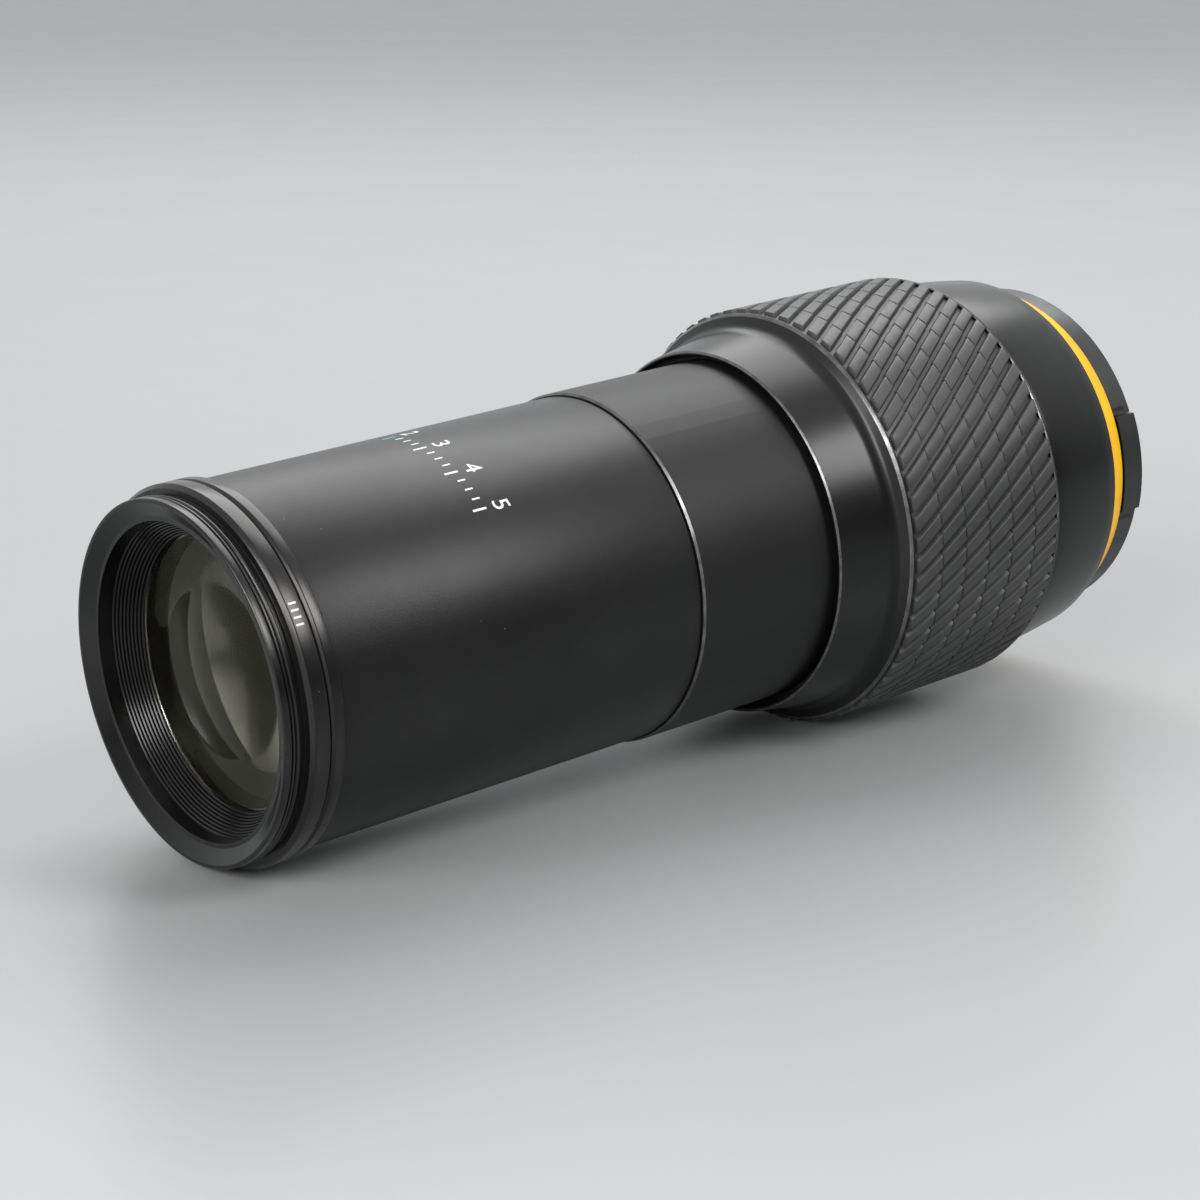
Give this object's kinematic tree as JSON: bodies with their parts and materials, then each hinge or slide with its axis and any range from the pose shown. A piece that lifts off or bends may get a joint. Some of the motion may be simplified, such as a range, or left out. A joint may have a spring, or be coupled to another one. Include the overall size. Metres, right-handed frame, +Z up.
{
  "type": "zoom lens",
  "caption": "Long black tele zoom conversion lens with a threaded camera end, ribbed rubber zoom ring, orange front line and pinch front cap.",
  "frame": {"origin": "on the optical axis at the rim of the camera thread", "axes": "+X along the optical axis towards the front cap, -X out of the camera thread, +Z up with the lens lying on its side"},
  "size_m": [0.1679, 0.0668, 0.0668],
  "materials": {
    "black_anodised": "satin black anodised aluminium",
    "matt_black_paint": "matt black paint with a fine grain",
    "satin_black_paint": "satin black paint",
    "inner_black": "flat black inside parts",
    "coated_glass": "polished, thin amber and grey coating",
    "brass_pin": "turned brass",
    "spring_steel": "bare spring steel",
    "felt": "black felt",
    "grip_rubber": "matt moulded rubber with slanted bars",
    "orange_paint": "orange enamel on the cone",
    "cap_plastic": "moulded black plastic"
  },
  "bodies": {
    "rear_body": {"thread_ring": "black_anodised", "band_ring": "black_anodised", "rear_barrel": "matt_black_paint", "inner_tube": "black_anodised", "cam_pins": "brass_pin", "rear_baffle": "black_anodised", "rear_cell": "inner_black", "rear_lens": "coated_glass", "rear_spacer": "inner_black", "rear_inner_lens": "coated_glass", "rear_retainer": "inner_black", "glare_stop": "inner_black"},
    "inner_group": {"variator_cell": "inner_black", "variator_front_lens": "coated_glass", "variator_spacer": "inner_black", "variator_rear_lens": "coated_glass", "variator_retainer": "inner_black", "variator_pins": "brass_pin"},
    "carriage": {"carriage_tube": "inner_black", "snap_ring": "spring_steel", "dust_seal": "felt", "objective_barrel": "satin_black_paint", "orange_ring": "orange_paint", "front_cell": "inner_black", "front_inner_lens": "coated_glass", "front_spacer": "inner_black", "front_lens": "coated_glass", "front_retainer": "inner_black"},
    "zoom_sleeve": {"zoom_ring": "satin_black_paint", "grip_rubber": "grip_rubber"},
    "front_cap": {"cap_body": "cap_plastic", "cap_plate": "cap_plastic", "cap_springs": "spring_steel"},
    "tab_left": {"cap_tab_left": "cap_plastic"},
    "tab_right": {"cap_tab_right": "cap_plastic"}
  },
  "joints": [
    {"name": "zoom_travel", "type": "slide", "parent": "rear_body", "child": "carriage", "axis": [1, 0, 0], "range_m": [-0.016, 0]},
    {"name": "zoom_turn", "type": "hinge", "parent": "carriage", "child": "zoom_sleeve", "pos_m": [0.12, 0, 0], "axis": [1, 0, 0], "range_deg": [0, 75]},
    {"name": "variator_travel", "type": "slide", "parent": "rear_body", "child": "inner_group", "axis": [1, 0, 0], "range_m": [-0.008, 0]},
    {"name": "cap_off", "type": "slide", "parent": "carriage", "child": "front_cap", "axis": [1, 0, 0], "range_m": [0, 0.03]},
    {"name": "tab_left_press", "type": "slide", "parent": "front_cap", "child": "tab_left", "axis": [0, -0.9962, 0.0872], "range_m": [0, 0.0018], "stiffness_N_per_m": 400, "springref_m": -0.002, "deforming": ["cap_springs"]},
    {"name": "tab_right_press", "type": "slide", "parent": "front_cap", "child": "tab_right", "axis": [0, 0.9962, -0.0872], "range_m": [0, 0.0018], "stiffness_N_per_m": 400, "springref_m": -0.002, "deforming": ["cap_springs"]}
  ],
  "couplings": [
    {"joint": "zoom_turn", "follows": "zoom_travel", "rad_per_m": -81.812},
    {"joint": "variator_travel", "follows": "zoom_travel", "ratio": 0.5}
  ]
}
